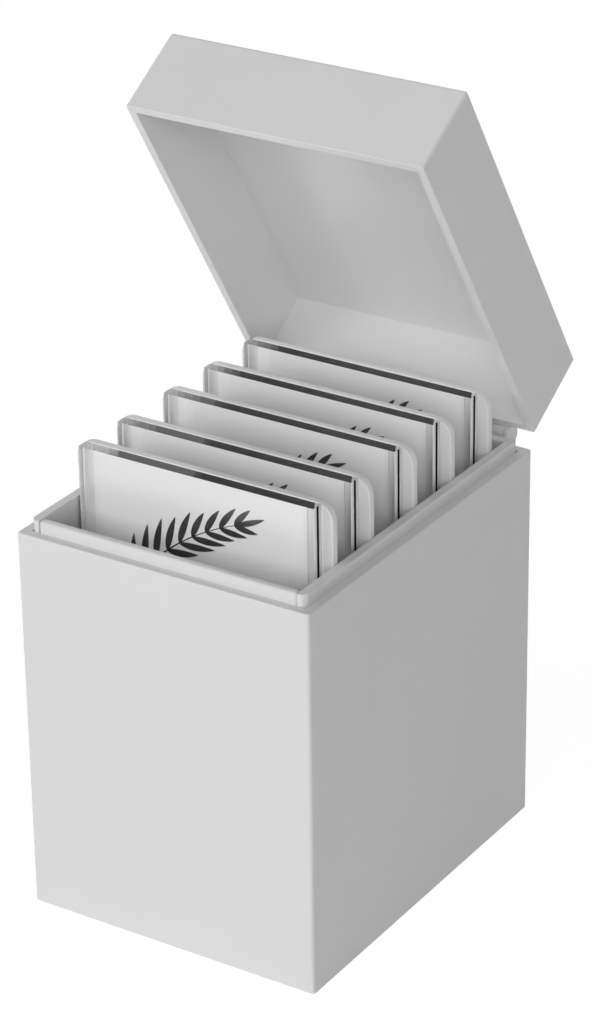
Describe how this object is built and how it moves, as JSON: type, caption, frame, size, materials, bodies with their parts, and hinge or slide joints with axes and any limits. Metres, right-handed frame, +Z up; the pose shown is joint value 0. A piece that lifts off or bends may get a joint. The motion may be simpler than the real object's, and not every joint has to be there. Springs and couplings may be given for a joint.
{
  "type": "false eyelash case",
  "caption": "Upright box with a hinged lid over a raised inner lip, holding lash tiles on edge in slotted racks.",
  "frame": {"origin": "centre of the underside of the case, on the surface it stands on", "axes": "+Z up; the front faces -Y and the hinge is at +Y; +X is to the right, seen from the front"},
  "size_m": [0.1, 0.1513, 0.2504],
  "materials": {
    "wall_acrylic": "polished white acrylic sheet",
    "lid_acrylic": "polished white acrylic sheet",
    "liner_acrylic": "white acrylic with polished round edges",
    "rack_acrylic": "white acrylic with cut edges",
    "tile_acrylic": "white acrylic, lightly translucent",
    "cover_acrylic": "clear acrylic",
    "card": "white printed card",
    "hinge_plastic": "moulded white plastic"
  },
  "bodies": {
    "case": {"front_panel": "wall_acrylic", "back_panel": "wall_acrylic", "left_panel": "wall_acrylic", "right_panel": "wall_acrylic", "bottom_plate": "wall_acrylic", "liner_front": "liner_acrylic", "liner_back": "liner_acrylic", "liner_left": "liner_acrylic", "liner_right": "liner_acrylic", "left_rack": "rack_acrylic", "right_rack": "rack_acrylic", "left_rest": "rack_acrylic", "right_rest": "rack_acrylic", "hinge_body_leaf": "hinge_plastic", "hinge_pin": "hinge_plastic"},
    "lid": {"lid_top": "lid_acrylic", "lid_front": "lid_acrylic", "lid_back": "lid_acrylic", "lid_left": "lid_acrylic", "lid_right": "lid_acrylic", "hinge_lid_leaf": "hinge_plastic"},
    "tile_1": {"tile_1_back": "tile_acrylic", "tile_1_card": "card", "tile_1_cover": "cover_acrylic"},
    "tile_2": {"tile_2_back": "tile_acrylic", "tile_2_card": "card", "tile_2_cover": "cover_acrylic"},
    "tile_3": {"tile_3_back": "tile_acrylic", "tile_3_card": "card", "tile_3_cover": "cover_acrylic"},
    "tile_4": {"tile_4_back": "tile_acrylic", "tile_4_card": "card", "tile_4_cover": "cover_acrylic"},
    "tile_5": {"tile_5_back": "tile_acrylic", "tile_5_card": "card", "tile_5_cover": "cover_acrylic"}
  },
  "joints": [
    {"name": "lid_hinge", "type": "hinge", "parent": "case", "child": "lid", "pos_m": [0, 0.06775, 0.1251], "axis": [-1, 0, 0], "range_deg": [-58.2, 51.8]},
    {"name": "tile_1_lift", "type": "slide", "parent": "case", "child": "tile_1", "axis": [0, 0, 1], "range_m": [0, 0.125]},
    {"name": "tile_2_lift", "type": "slide", "parent": "case", "child": "tile_2", "axis": [0, 0, 1], "range_m": [0, 0.125]},
    {"name": "tile_3_lift", "type": "slide", "parent": "case", "child": "tile_3", "axis": [0, 0, 1], "range_m": [0, 0.08]},
    {"name": "tile_4_lift", "type": "slide", "parent": "case", "child": "tile_4", "axis": [0, 0, 1], "range_m": [0, 0.08]},
    {"name": "tile_5_lift", "type": "slide", "parent": "case", "child": "tile_5", "axis": [0, 0, 1], "range_m": [0, 0.05]}
  ]
}
